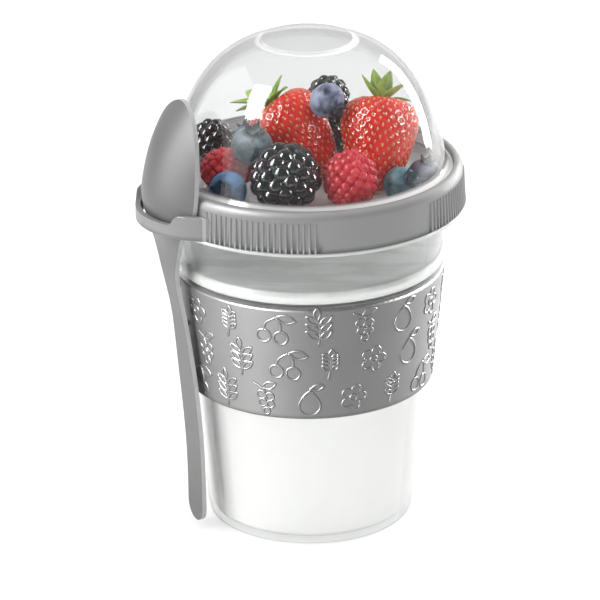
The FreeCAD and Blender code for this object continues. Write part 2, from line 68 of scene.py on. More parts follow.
class Signal:
    """One value of a material: sums and products of signals add the nodes that work them out."""

    def __init__(self, finish, socket):
        self.finish = finish
        self.socket = socket

    def math(self, operation, *others):
        """Result of a Math node on this value and the others."""
        values = dict(enumerate((self,) + others))
        return self.finish.node("ShaderNodeMath", {"operation": operation}, values).out()

    def swapped(self, operation, other):
        """The same with the other value first."""
        settings = {"operation": operation}
        return self.finish.node("ShaderNodeMath", settings, {0: other, 1: self}).out()

    def __add__(self, other):
        return self.math("ADD", other)

    def __radd__(self, other):
        return self.math("ADD", other)

    def __mul__(self, other):
        return self.math("MULTIPLY", other)

    def __rmul__(self, other):
        return self.math("MULTIPLY", other)

    def __sub__(self, other):
        return self.math("SUBTRACT", other)

    def __rsub__(self, other):
        return self.swapped("SUBTRACT", other)

    def __pow__(self, other):
        return self.math("POWER", other)

    def step(self, low, high):
        """0 below low, 1 above high and a smooth rise between them."""
        settings = {"interpolation_type": "SMOOTHSTEP"}
        return self.finish.node("ShaderNodeMapRange", settings, {0: self, 1: low, 2: high}).out()


class Made:
    """A node just made, whose outputs are read by name or number."""

    def __init__(self, finish, node):
        self.finish = finish
        self.node = node

    def out(self, name=0):
        return Signal(self.finish, self.node.outputs[name])


class Finish:
    """A material, or the sky, in the making; place is a point on the object that wears it."""

    def __init__(self, name, sky=None):
        self.material = sky or bpy.data.materials.new(name)
        self.material.use_nodes = True
        self.tree = self.material.node_tree
        self.tree.nodes.clear()
        self.place = self.node("ShaderNodeTexCoord").out("Object")

    def node(self, kind, settings=None, inputs=None):
        """Adds a node: its settings first, then the values or links of its sockets."""
        node = self.tree.nodes.new(kind)
        for key, value in (settings or {}).items():
            if key == "stops":
                ramp = node.color_ramp.elements
                while len(ramp) < len(value):
                    ramp.new(0.5)
                for element, (position, colour) in zip(ramp, value):
                    element.position = position
                    element.color = tuple(colour) + (1.0,)
            else:
                setattr(node, key, value)
        for key, value in (inputs or {}).items():
            if isinstance(value, Signal):
                self.tree.links.new(value.socket, node.inputs[key])
            else:
                node.inputs[key].default_value = value
        return Made(self, node)

    def noise(self, scale, detail=3.0, place=None):
        """Cloudy values about 0.5, scale cells to the metre."""
        inputs = {"Vector": place or self.place, "Scale": scale, "Detail": detail}
        return self.node("ShaderNodeTexNoise", None, inputs).out("Fac")

    def blend(self, share, one, other):
        """Colour one where share is 0 and other where it is 1."""
        one, other = [c if isinstance(c, Signal) else tuple(c) + (1.0,) for c in (one, other)]
        settings = {"data_type": "RGBA"}
        return self.node("ShaderNodeMix", settings, {0: share, 6: one, 7: other}).out(2)

    def bump(self, height, strength, distance):
        """Normal that follows a height signal, whose range stands for a distance in metres."""
        inputs = {"Height": height, "Strength": strength, "Distance": distance}
        return self.node("ShaderNodeBump", None, inputs).out("Normal")

    def shader(self, inputs):
        """The principled surface, with its sockets fed by name."""
        return self.node("ShaderNodeBsdfPrincipled", None, inputs).out()

    def done(self, surface):
        """Gives the finished material its surface."""
        self.node("ShaderNodeOutputMaterial", None, {"Surface": surface})
        return self.material


def made(name, vertices, faces, material):
    """Smooth mesh object from corner points in metres and lists of the corners of each face."""
    mesh = bpy.data.meshes.new(name)
    mesh.from_pydata(vertices, [], faces)
    mesh.validate()
    mesh.polygons.foreach_set("use_smooth", [True] * len(mesh.polygons))
    mesh.materials.append(material)
    piece = bpy.data.objects.new(name, mesh)
    bpy.context.scene.collection.objects.link(piece)
    return piece


def lamp(name, turn, lift, distance, wide, tall, watts, lights=True, mirrored=True, roll=0):
    """Soft box at a turn from the front towards the right and a lift, in degrees, aimed at the cup.

    A box may light surfaces, show as a reflection in them, or both. Its top leans right by roll.
    """
    light = bpy.data.lights.new(name, "AREA")
    light.shape = "RECTANGLE"
    light.size = wide
    light.size_y = tall
    light.energy = watts
    aim = Vector((0, 0, 0.08))
    turn, lift = np.radians(turn), np.radians(lift)
    out = Vector((np.sin(turn) * np.cos(lift), -np.cos(turn) * np.cos(lift), np.sin(lift)))
    box = bpy.data.objects.new(name, light)
    facing = out.to_track_quat("Z", "Y").to_matrix().to_4x4()
    leaning = Matrix.Rotation(-np.radians(roll), 4, "Z")
    box.matrix_world = Matrix.Translation(aim + distance * out) @ facing @ leaning
    box.visible_diffuse = lights
    box.visible_glossy = mirrored
    bpy.context.scene.collection.objects.link(box)
    return box


lamp_left = lamp("lamp_left", -72, 22, 1.1, 0.9, 0.9, 12.6)
haze_left = lamp("haze_left", -92, 22, 1.1, 1.8, 1.4, 12.0, lights=False)
lamp("window_left", -74.4, 50.7, 1.1, 0.27, 0.61, 14.0, lights=False, roll=-38)
lamp("lamp_right", 122, 26, 1.1, 0.5, 1.0, 13.0, mirrored=False)
lamp("window_right", 138, 11, 1.1, 0.12, 0.78, 8.0, lights=False, roll=42)
sparks = [
    lamp("spark_left", -70, 26, 1.0, 0.3, 0.6, 15.0, lights=False),
    lamp("spark_right", 74, 24, 1.0, 0.3, 0.6, 17.0, lights=False),
]
lamp("lamp_over", 10, 78, 1.2, 1.0, 1.0, 9.0, mirrored=False)
lamp("lamp_fill", 18, 12, 1.6, 1.6, 1.2, 8.6, mirrored=False)
strips = [
    lamp("strip_left", -47, 7, 0.9, 0.26, 0.36, 70.0, lights=False),
    lamp("strip_right", 114, 7, 0.9, 0.36, 0.36, 60.0, lights=False),
]

table_paper = Finish("table_paper")
seen = table_paper.node("ShaderNodeLightPath").out("Is Camera Ray")
grain = (table_paper.noise(900.0) * 0.02 + 0.79) * (1.0 - seen * 0.45)
paper = table_paper.node("ShaderNodeCombineColor", None, {0: grain, 1: grain, 2: grain}).out()
diffuse = table_paper.node("ShaderNodeBsdfDiffuse", None, {"Color": paper}).out()
glow = table_paper.node("ShaderNodeEmission", None, {"Strength": seen * 0.50}).out()
table_paper.done(table_paper.node("ShaderNodeAddShader", None, {0: diffuse, 1: glow}).out())
table = made(
    "table", [(-6, -6, 0), (6, -6, 0), (6, 6, 0), (-6, 6, 0)], [(0, 1, 2, 3)], table_paper.material
)

sky = Finish("sky", bpy.data.worlds.new("sky"))
bpy.context.scene.world = sky.material
way = sky.node("ShaderNodeTexCoord").out("Generated")
behind = sky.node("ShaderNodeSeparateXYZ", None, {0: way}).out("Y")
level = behind.step(-0.35, 0.75) * 0.62 + 0.26
seen = sky.node("ShaderNodeLightPath").out("Is Camera Ray")
lit = sky.node("ShaderNodeMix", None, {0: seen, 2: level, 3: 1.0}).out()
light = sky.node("ShaderNodeBackground", None, {"Color": (1, 1, 1, 1), "Strength": lit}).out()
sky.node("ShaderNodeOutputWorld", None, {"Surface": light})


# ---- Cup, tray and dome ----------------------------------------------------------------------
# Three thin clear mouldings of hard food-safe plastic: the cup, the tray that hangs in its mouth
# and the dome that stands on the tray. Their walls show grey where the eye runs along them.

def clear_plastic(name, tone, through, haze, edge, painted_bright_rims):
    """Clear moulding: haze is how much of the face it veils and edge how much more at its edges.

    Thick rims are painted whitish, faintly pink, as a painted highlight of the bright lines along
    them: each is (lowest height, highest height, least radius, how much).
    """
    clear = Finish(name)
    facing = clear.node("ShaderNodeLayerWeight", None, {"Blend": 0.5}).out("Facing")
    mirror = facing ** 5.0 * 0.7 + 0.028
    flow = clear.noise(60.0, 2.0)
    axes = clear.node("ShaderNodeSeparateXYZ", None, {0: clear.place})
    radius = (axes.out("X") * axes.out("X") + axes.out("Y") * axes.out("Y")) ** 0.5
    # Painted highlight: each rim zone is veiled in a whitish, faintly pink colour that stands for a
    # bright line.
    bright_rim_share = flow * 0.0
    for low, high, inside, share in painted_bright_rims:
        zone = axes.out("Z").step(low - 0.0003, low + 0.0003) * radius.step(inside - 0.0003, inside)
        bright_rim_share = bright_rim_share + zone * (1.0 - axes.out("Z").step(high - 0.0006, high + 0.0006)) * share
    pale = (tone * 1.15, tone * 1.17, tone * 1.17)
    body = clear.blend(flow, (tone, tone, tone), pale)
    wall = clear.shader(
        {
            "Base Color": clear.blend(bright_rim_share.step(0.0, 0.6), body, (0.88, 0.86, 0.86)),
            "Roughness": flow * 0.1 + 0.05,
            "Specular IOR Level": 0.5,
        }
    )
    shine = clear.shader({"Base Color": (1, 1, 1, 1), "Metallic": 1.0, "Roughness": 0.03})
    cool = (through, through * 1.004, through * 1.004, 1)
    open_way = clear.node("ShaderNodeBsdfTransparent", None, {"Color": cool}).out()
    veil = (facing ** 4.0 * edge + facing.step(0.57, 0.62) * 0.14 + haze).math("MAXIMUM", bright_rim_share)
    seen_wall = clear.node("ShaderNodeMixShader", None, {0: veil, 1: open_way, 2: wall}).out()
    surface = clear.node("ShaderNodeMixShader", None, {0: mirror, 1: seen_wall, 2: shine}).out()
    return clear.done(surface)


DOME_FOOT = 0.1163
DOME_RIM = 0.1544
DOME_RIM_R = 0.0140
# Painted highlights: the dome's foot and the edge of its top disc are painted whitish.
dome_painted_rims = [(0.0, DOME_FOOT, 0.0, 0.8), (DOME_RIM, 0.2, DOME_RIM_R, 0.6)]
for node, tone, through, haze, edge, painted_bright_rims in (
    ("cup", 0.35, 0.976, 0.02, 0.45, []),
    ("tray", 0.6, 0.968, 0.62, 0.3, []),
    ("dome", 0.35, 0.936, 0.014, 0.36, dome_painted_rims),
):
    clear = clear_plastic("clear_" + node, tone, through, haze, edge, painted_bright_rims)
    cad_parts[node].material_slots[0].material = clear
# Alone of all the pieces, the dome mirrors the broad haze and takes no light from lamp_left.
for box, state in ((lamp_left, "EXCLUDE"), (haze_left, "INCLUDE")):
    by_dome = bpy.data.collections.new(box.name + "_dome")
    by_dome.objects.link(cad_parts["dome"])
    by_dome.collection_objects[0].light_linking.link_state = state
    box.light_linking.receiver_collection = by_dome


# ---- Yogurt ----------------------------------------------------------------------------------
# Set white yogurt, poured to just above the ledge and stirred once, so that a flat spiral is left.
# It wets the wall all round, so its side lies in the plastic, close under the wall's outer face.

yogurt_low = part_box("yogurt")[0]
YOGURT_LEVEL = 0.088
LEDGE = 0.0832
CUP_R = 0.0451
CUP_LEDGE_R = 0.0393
CUP_FOOT_R = 0.0322
SWIRL = 0.0007
SWIRL_TURNS = 2.2
UNDER_FACE = 0.0005
FOOT_ROUND = 0.0014


def lathe(rings, around):
    """Rings of radius and height turned about Z: an array rings x around x 3."""
    turn = np.linspace(0, 2 * np.pi, around, endpoint=False)
    r, z = rings[:, 0][:, None], rings[:, 1][:, None]
    return np.stack([r * np.cos(turn), r * np.sin(turn), z + 0 * turn], axis=-1)


def closed_skin(grid):
    """Corner points and faces of a grid that closes around its second side and at both end rows."""
    rows, around = grid.shape[:2]
    index = np.arange(rows * around).reshape(rows, around)
    on = np.roll(index, -1, axis=1)
    quads = np.stack([index[:-1], on[:-1], on[1:], index[1:]], axis=-1).reshape(-1, 4)
    first, last = len(grid.reshape(-1, 3)), len(grid.reshape(-1, 3)) + 1
    low = np.stack([on[0], index[0], np.full(around, first)], axis=-1)
    high = np.stack([index[-1], on[-1], np.full(around, last)], axis=-1)
    points = np.vstack([grid.reshape(-1, 3), grid[0].mean(0), grid[-1].mean(0)])
    return points, quads.tolist() + low.tolist() + high.tolist()


def stirred(x, y):
    """Spiral wave: sine of the turns outwards less the turn about Z, fading to the middle."""
    r = np.hypot(x, y) / CUP_R
    wave = np.sin(SWIRL_TURNS * 2 * np.pi * r - np.arctan2(y, x))
    return SWIRL * wave * np.minimum(1.0, 2.5 * r) * (1 - 0.5 * r)


taper = (CUP_LEDGE_R - CUP_FOOT_R) / LEDGE
side_r = [CUP_FOOT_R + taper * 0.0022 - FOOT_ROUND, CUP_FOOT_R + taper * 0.004 - UNDER_FACE]
side_r += [CUP_LEDGE_R - UNDER_FACE]
side_z = [yogurt_low[2] - 0.0003, yogurt_low[2] + FOOT_ROUND, LEDGE + 0.0010]
NECK_WALL = ((0.0418, LEDGE + 0.0014), (0.0421, YOGURT_LEVEL))
SURFACE_R = 0.0412
rings = [(0.0005, side_z[0])] + list(zip(side_r, side_z)) + list(NECK_WALL)
rings += [(r, YOGURT_LEVEL) for r in np.linspace(SURFACE_R, 0.0006, 46)]
yogurt_grid = lathe(np.array(rings), 180)
on_top = np.arange(len(rings)) > len(side_r) + 1
yogurt_grid[on_top, :, 2] += stirred(yogurt_grid[on_top, :, 0], yogurt_grid[on_top, :, 1])

cream = Finish("yogurt_white")
curd = cream.noise(260.0, 4.0)
height = cream.node("ShaderNodeSeparateXYZ", None, {0: cream.place}).out("Z")
long_way = cream.node(
    "ShaderNodeMapping", None, {"Vector": cream.place, "Scale": (26.0, 90.0, 26.0)}
).out()
# Painted shade: stretched darker streaks on the top stand for the shading of the stirred swirls.
painted_swirl_shade = cream.noise(1.6, 5.0, long_way).step(0.44, 0.58) * height.step(0.0864, 0.0872)
painted_shade_white = cream.blend(curd, (0.83, 0.83, 0.815), (0.87, 0.87, 0.855))
# Painted shade: above the ledge the yogurt is darkened, as the lid and berries shade its top seen
# through the clear band.
painted_shade_white = cream.blend(height.step(0.0842, 0.0850) * 0.35, painted_shade_white, (0.62, 0.64, 0.625))
cream.done(
    cream.shader(
        {
            "Base Color": cream.blend(painted_swirl_shade * 0.45, painted_shade_white, (0.46, 0.49, 0.475)),
            "Roughness": curd * 0.15 + 0.30,
            "Subsurface Weight": 0.12,
            "Subsurface Radius": (0.004, 0.003, 0.002),
            "Normal": cream.bump(curd, 0.25, 0.0004),
        }
    )
)
yogurt = made("yogurt_fill", *closed_skin(yogurt_grid), cream.material)
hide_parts("yogurt")
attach(yogurt, "root")


# ---- Sleeve, ring and spoon ------------------------------------------------------------------
# Satin grey mouldings. The sleeve is a soft band pushed up under the cup's ledge, the ring screws
# onto the neck and its strap holds the spoon by the back of the bowl.

def flat_place(finish):
    """Place on the surface with its height taken away."""
    return finish.node(
        "ShaderNodeVectorMath", {"operation": "MULTIPLY"}, {0: finish.place, 1: (1, 1, 0)}
    ).out()


def satin_grey(name, tone, roughness, lip=0.0, crest=9.0, flat_side=(0, 0, 1), painted_edge_highlight=0.0):
    """Satin plastic with a fine spark texture and slow streaks of the moulding's flow.

    Below the height lip the edge is painted pale as a highlight, and just above it a dark band
    paints shade in the groove. Ribs that stand out to the radius crest, and faces on edge to
    flat_side by the share in the last argument, are painted pale as highlights too.
    """
    grey = Finish(name)
    fine = grey.noise(5200.0, 2.0)
    slow = grey.noise(38.0, 3.0)
    dark = tuple(tone * share for share in (0.93, 0.94, 0.93))
    light = tuple(tone * share for share in (1.06, 1.07, 1.06))
    colour = grey.blend(slow * 0.7 + fine * 0.3, dark, light)
    height = grey.node("ShaderNodeSeparateXYZ", None, {0: grey.place}).out("Z")
    edge = height.step(lip - 0.0002, lip + 0.0001)
    # Painted shade: a dark band just above the lip, where the parts meet.
    painted_shade_band = edge * (1.0 - height.step(lip + 0.0006, lip + 0.0016))
    colour = grey.blend(painted_shade_band * 0.35, colour, (0.05, 0.05, 0.05))
    # Painted highlight: below the lip the edge is made pale.
    colour = grey.blend((1.0 - edge) * 0.8, colour, (0.60, 0.62, 0.61))
    away = grey.node(
        "ShaderNodeVectorMath", {"operation": "LENGTH"}, {0: flat_place(grey)}
    ).out("Value")
    faced = grey.node(
        "ShaderNodeVectorMath",
        {"operation": "DOT_PRODUCT"},
        {0: grey.node("ShaderNodeTexCoord").out("Normal"), 1: flat_side},
    ).out("Value")
    # Painted highlight: faces on edge to flat_side are made pale, for the light line along the
    # spoon's rim.
    on_edge = 1.0 - faced.math("ABSOLUTE").step(0.12, 0.35)
    colour = grey.blend(on_edge * painted_edge_highlight, colour, (0.50, 0.51, 0.50))
    # Painted highlight: rib crests out to the radius crest are made pale, for the light lines along
    # them.
    painted_rib_highlight = away.step(crest, crest + 0.0001) * (1.0 - away.step(crest + 0.0006, crest + 0.0008))
    colour = grey.blend(painted_rib_highlight * 0.45, colour, (0.50, 0.51, 0.50))
    return grey.done(
        grey.shader(
            {
                "Base Color": colour,
                "Roughness": fine * 0.12 + slow * 0.08 + roughness - 0.1,
                "Metallic": 0.3,
                "Specular IOR Level": 0.5,
                "Normal": grey.bump(fine, 0.12, 0.00008),
            }
        )
    )


spoon_side = sum(np.array(corner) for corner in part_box("spoon")) * (1, 1, 0)
spoon_side = tuple(spoon_side / np.linalg.norm(spoon_side))
sleeve_grey = satin_grey("sleeve_grey", 0.145, 0.43, lip=0.0455)
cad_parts["sleeve"].material_slots[0].material = sleeve_grey
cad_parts["ring"].material_slots[0].material = satin_grey(
    "ring_grey", 0.225, 0.45, lip=0.1036, crest=0.04862
)
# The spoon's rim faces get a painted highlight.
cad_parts["spoon"].material_slots[0].material = satin_grey(
    "spoon_grey", 0.125, 0.40, flat_side=spoon_side, painted_edge_highlight=0.7
)

SLEEVE_LOW = 0.0453
SLEEVE_THICK = 0.003
FOOT_THINNER = 0.0004
WRAP_R = 0.0405
WRAP = 2 * np.pi * WRAP_R * 1000
MOTIFS_ROUND = 18
RIDGE_WIDE = 0.85
RIDGE_HIGH = 0.28


def eased(corners, count):
    """Smooth run of points through corners: a Catmull-Rom curve sampled evenly in its parameter."""
    ends = [2 * corners[0] - corners[1]], [2 * corners[-1] - corners[-2]]
    c = np.vstack([ends[0], corners, ends[1]])
    t = np.linspace(0, len(corners) - 1.000001, count)
    i, f = t.astype(int), (t % 1)[:, None]
    a, b, d, e = c[i], c[i + 1], c[i + 2], c[i + 3]
    bend = (2 * a - 5 * b + 4 * d - e) * f**2 + (3 * b - a - 3 * d + e) * f**3
    return b + 0.5 * ((d - a) * f + bend)


def sleeve_radius(z):
    """Outer radius of the sleeve at a height: a straight cone, a little thinner at its foot."""
    thinner = FOOT_THINNER * (LEDGE - z) / (LEDGE - SLEEVE_LOW)
    return CUP_FOOT_R + taper * z + SLEEVE_THICK - thinner


def hoop(x, y, r):
    """Circle."""
    t = np.linspace(0, 2 * np.pi, 22, endpoint=False)
    return True, np.stack([x + r * np.cos(t), y + r * np.sin(t)], axis=-1)


def blade_line(x, y, length, width, tilt):
    """Leaf outline: half width x sin(pi t) on each side of a rib, turned by tilt degrees."""
    t = np.linspace(0, 1, 13)
    half = width / 2 * np.sin(np.pi * t)
    there = np.stack([t * length, half], -1)
    back = np.stack([t[-2:0:-1] * length, -half[-2:0:-1]], -1)
    line = np.vstack([there, back])
    c, d = np.cos(np.radians(tilt)), np.sin(np.radians(tilt))
    return True, line @ np.array([[c, d], [-d, c]]) + (x, y)


def stroke(*corners):
    """Smooth open line through corners."""
    return False, eased(np.array(corners, dtype=float), 5 * len(corners))


def oat(x, y, tall):
    """Ear of oats: a bowed stalk with grains in pairs and one at the top."""
    lines = [stroke((x - 1.0, y), (x - 0.3, y + 0.4 * tall), (x, y + 0.8 * tall))]
    for step in range(4):
        at = y + tall * (0.32 + 0.14 * step)
        lines.append(blade_line(x - 0.1, at, 3.0, 1.5, 42))
        lines.append(blade_line(x - 0.5, at, 3.0, 1.5, 138))
    lines.append(blade_line(x, y + 0.8 * tall, 3.0, 1.6, 88))
    return lines


def cherries(x, y, size):
    """Two cherries on one stalk under a leaf."""
    top = (x + 0.6 * size, y + 2.6 * size)
    lines = [hoop(x - size, y, 0.85 * size), hoop(x + 1.1 * size, y - 0.2 * size, 0.85 * size)]
    lines.append(stroke((x - size, y + 0.8 * size), (x - 0.6 * size, y + 1.8 * size), top))
    lines.append(stroke((x + 1.1 * size, y + 0.6 * size), (x + 1.1 * size, y + 1.6 * size), top))
    return lines + [blade_line(*top, 2.4 * size, 1.1 * size, -12)]


def pear(x, y, size):
    """Pear: an oval drawn in towards its top, with a stalk and a leaf."""
    t = np.linspace(0, 2 * np.pi, 34, endpoint=False)
    rise = np.sin(t)
    half = size * np.cos(t) * (0.72 - 0.26 * rise - 0.10 * rise**2)
    lines = [(True, np.stack([x + 1.15 * half, y + 1.05 * size * rise], -1))]
    top = (x, y + 1.05 * size)
    lines.append(stroke(top, (x + 0.1 * size, y + 1.3 * size), (x + 0.35 * size, y + 1.5 * size)))
    return lines + [blade_line(x + 0.1 * size, y + 1.25 * size, 1.1 * size, 0.5 * size, 15)]


def currants(x, y, size):
    """String of round currants that grow smaller towards its end, on a stalk with a leaf."""
    stalk = ((-1.6, 2.1), (-0.4, 1.5), (0.0, 0.9))
    lines = [stroke(*((x + a * size, y + b * size) for a, b in stalk))]
    grains = ((-0.6, 0.5), (0.6, 0.35), (-0.45, -0.6), (0.62, -0.75), (0.05, -1.75))
    for step, (side, drop) in enumerate(grains):
        lines.append(hoop(x + side * size, y + drop * size, (0.58 - 0.03 * step) * size))
    return lines + [blade_line(x - 0.4 * size, y + 1.6 * size, 2.0 * size, 1.0 * size, 20)]


def blossom(x, y, size):
    """Five-petalled flower: radius size x (0.60 + 0.40 |cos 2.5 t|), with a round eye."""
    t = np.linspace(0, 2 * np.pi, 60, endpoint=False)
    r = size * (0.60 + 0.40 * np.abs(np.cos(2.5 * t)))
    return [(True, np.stack([x + r * np.cos(t), y + r * np.sin(t)], -1)), hoop(x, y, 0.26 * size)]


def sprig(x, y, size):
    """Twig with leaves on both sides."""
    lines = [stroke((x, y - 1.6 * size), (x + 0.15 * size, y), (x - 0.1 * size, y + 1.2 * size))]
    for step in range(3):
        at = y + size * (-0.9 + 0.8 * step)
        lines.append(blade_line(x + 0.1 * size, at, 1.5 * size, 0.6 * size, 38))
        lines.append(blade_line(x, at, 1.5 * size, 0.6 * size, 142))
    return lines + [blade_line(x - 0.1 * size, y + 1.2 * size, 1.3 * size, 0.6 * size, 95)]


def raised(lines, width, height):
    """Rounded ridges along lines of arc length and height in millimetres, laid on the sleeve.

    The section is five points over the top, highest in the middle and a hair under the surface at
    the sides, and one point well below it that closes the section.
    """
    across = np.array([-0.5, -0.3, 0.0, 0.3, 0.5, 0.0]) * width
    lift = np.array([-0.02, 0.72 * height, height, 0.72 * height, -0.02, -0.35])
    points, faces, count = [], [], 0
    for closed, line in lines:
        ahead = np.roll(line, -1, 0) - np.roll(line, 1, 0) if closed else np.gradient(line, axis=0)
        ahead /= np.hypot(ahead[:, 0], ahead[:, 1])[:, None] + 1e-9
        side = np.stack([-ahead[:, 1], ahead[:, 0]], -1)
        flat = line[:, None] + side[:, None] * across[None, :, None]
        z = SLEEVE_LOW + flat[..., 1] / 1000
        r = sleeve_radius(z) + lift / 1000
        turn = flat[..., 0] / 1000 / WRAP_R
        points.append(np.stack([r * np.sin(turn), -r * np.cos(turn), z], -1).reshape(-1, 3))
        index = count + np.arange(len(line) * 6).reshape(-1, 6)
        on = np.roll(index, -1, 0) if closed else index[1:]
        here = index if closed else index[:-1]
        ring = np.stack([here, on, np.roll(on, -1, 1), np.roll(here, -1, 1)], -1)
        faces += ring.reshape(-1, 4)[:, ::-1].tolist()
        if not closed:
            faces += [index[0, ::-1].tolist(), index[-1].tolist()]
        count += len(line) * 6
    return np.vstack(points), faces


# Each kind of motif with its shift across and up from its seat in the row, and its size, in mm.
DRAWN = {
    pear: (0.0, -0.9, 3.9),
    blossom: (0.0, 0.0, 4.3),
    oat: (0.4, -4.9, 9.2),
    cherries: (0.0, -2.2, 2.5),
    sprig: (0.0, -0.2, 3.1),
    currants: (0.0, -0.1, 2.4),
}
kinds = list(DRAWN)
motifs = []
for row, (height, share, stride) in enumerate(((6.6, 0.0, 1), (18.6, 0.45, 5), (30.6, 0.2, 1))):
    for place in range(MOTIFS_ROUND):
        kind = kinds[(place * stride + 2 * row) % len(kinds)]
        across, up, size = DRAWN[kind]
        x = (place + share) * WRAP / MOTIFS_ROUND
        motifs += kind(x + across, height + up, size)
relief = made("sleeve_relief", *raised(motifs, RIDGE_WIDE, RIDGE_HIGH), sleeve_grey)
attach(relief, "root")

# The strips show only in the sleeve and its relief.
strip_lit = bpy.data.collections.new("strip_lit")
strip_lit.objects.link(relief)
strip_lit.objects.link(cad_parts["sleeve"])
for strip in strips:
    strip.light_linking.receiver_collection = strip_lit


# ---- Strawberries ----------------------------------------------------------------------------
# Two ripe strawberries stand tip down on the tray. Each carries its seeds in small pits, laid in
# spirals, and a star of leaves on its shoulder.

TRAY_FLOOR = 0.1095


def turned_to(points, axis):
    """Points turned the shortest way from +Z to an axis."""
    rotation = Vector((0, 0, 1)).rotation_difference(Vector(axis)).to_matrix()
    return points @ np.array(rotation).T


def spiral_seats(profile, count):
    """Points and normals spread evenly by area over a turned profile, a golden angle apart."""
    run = np.diff(profile, axis=0)
    area = np.hypot(run[:, 0], run[:, 1]) * (profile[1:, 0] + profile[:-1, 0])
    along = np.concatenate([[0], np.cumsum(area)]) / area.sum()
    seat = np.interp((np.arange(count) + 0.5) / count, along, np.arange(len(profile)))
    r = np.interp(seat, np.arange(len(profile)), profile[:, 0])
    z = np.interp(seat, np.arange(len(profile)), profile[:, 1])
    slope = np.gradient(profile, axis=0)
    sr = np.interp(seat, np.arange(len(profile)), slope[:, 0])
    sz = np.interp(seat, np.arange(len(profile)), slope[:, 1])
    turn = np.arange(count) * np.pi * (3 - np.sqrt(5))
    out = np.stack([sz * np.cos(turn), sz * np.sin(turn), -sr], axis=-1)
    out /= np.linalg.norm(out, axis=-1, keepdims=True)
    return np.stack([r * np.cos(turn), r * np.sin(turn), z], axis=-1), out


def drops(seats, out, down, long, wide, thick, rings, around):
    """Small egg shapes at seats: long along down, wide across it and thick along out."""
    side = np.cross(out, down)
    side /= np.linalg.norm(side, axis=-1, keepdims=True) + 1e-12
    down = np.cross(side, out)
    lift = np.linspace(-np.pi / 2 * 0.92, np.pi / 2 * 0.92, rings)[:, None]
    turn = np.linspace(0, 2 * np.pi, around, endpoint=False)[None, :]
    x, y, z = np.sin(lift) + 0 * turn, np.cos(lift) * np.cos(turn), np.cos(lift) * np.sin(turn)
    shape = seats[:, None, None] + long * x[None, ..., None] * down[:, None, None]
    shape = shape + wide * y[None, ..., None] * side[:, None, None]
    return shape + thick * z[None, ..., None] * out[:, None, None]


def skins(grids):
    """Points and faces of many like grids, each closed as closed_skin closes one."""
    first = closed_skin(grids[0])[1]
    quads = np.array([face for face in first if len(face) == 4])
    fans = np.array([face for face in first if len(face) == 3])
    size = grids[0].shape[0] * grids[0].shape[1] + 2
    shift = (np.arange(len(grids)) * size)[:, None, None]
    flat = grids.reshape(len(grids), -1, 3)
    ends = np.stack([grids[:, 0].mean(1), grids[:, -1].mean(1)], axis=1)
    points = np.concatenate([flat, ends], axis=1).reshape(-1, 3)
    faces = (quads + shift).reshape(-1, 4).tolist() + (fans + shift).reshape(-1, 3).tolist()
    return points, faces


flesh_red = Finish("strawberry_red")
blush = flesh_red.noise(190.0, 3.0)
pores = flesh_red.noise(1900.0, 2.0)
red = flesh_red.blend(blush.step(0.35, 0.7), (0.80, 0.013, 0.007), (0.56, 0.006, 0.004))
flesh_red.done(
    flesh_red.shader(
        {
            "Base Color": red,
            "Roughness": pores * 0.10 + 0.13,
            "Subsurface Weight": 0.10,
            "Subsurface Radius": (0.003, 0.0006, 0.0004),
            "Coat Weight": 0.35,
            "Coat Roughness": 0.08,
            "Normal": flesh_red.bump(pores, 0.15, 0.0001),
        }
    )
)
seed_gold = Finish("seed_gold")
husk = seed_gold.noise(1500.0, 2.0)
seed_gold.done(
    seed_gold.shader(
        {
            "Base Color": seed_gold.blend(
                husk.step(0.3, 0.7), (0.80, 0.42, 0.07), (0.55, 0.16, 0.03)
            ),
            "Roughness": husk * 0.2 + 0.25,
        }
    )
)


def leaf_green(name, young, old):
    """Leaf skin: a pale midrib along the blade's own length and fine veins across it."""
    green = Finish(name)
    run = green.node("ShaderNodeUVMap", {"uv_map": "blade"}).out()
    across = green.node("ShaderNodeSeparateXYZ", None, {0: run})
    middle = (across.out("Y") - 0.5).math("ABSOLUTE")
    veins = ((across.out("X") * 46.0) - (middle * 30.0)).math("SINE") * 0.5 + 0.5
    mottle = green.noise(420.0, 3.0)
    blade = green.blend(mottle.step(0.3, 0.7), young, old)
    rib = 1.0 - middle.step(0.02, 0.08)
    return green.done(
        green.shader(
            {
                "Base Color": green.blend(rib * 0.6 + veins * 0.12, blade, (0.42, 0.55, 0.18)),
                "Roughness": mottle * 0.2 + 0.35,
                "Subsurface Weight": 0.08,
                "Subsurface Radius": (0.001, 0.002, 0.0005),
                "Normal": green.bump(veins, 0.3, 0.0001),
            }
        )
    )


# The sparks show only in the strawberries and the brambles, which join this list as they are made.
spark_lit = bpy.data.collections.new("spark_lit")
for spark in sparks:
    spark.light_linking.receiver_collection = spark_lit
bright_leaf = leaf_green("leaf_bright", (0.30, 0.48, 0.03), (0.15, 0.31, 0.02))


LEAF_THICK = 0.00022


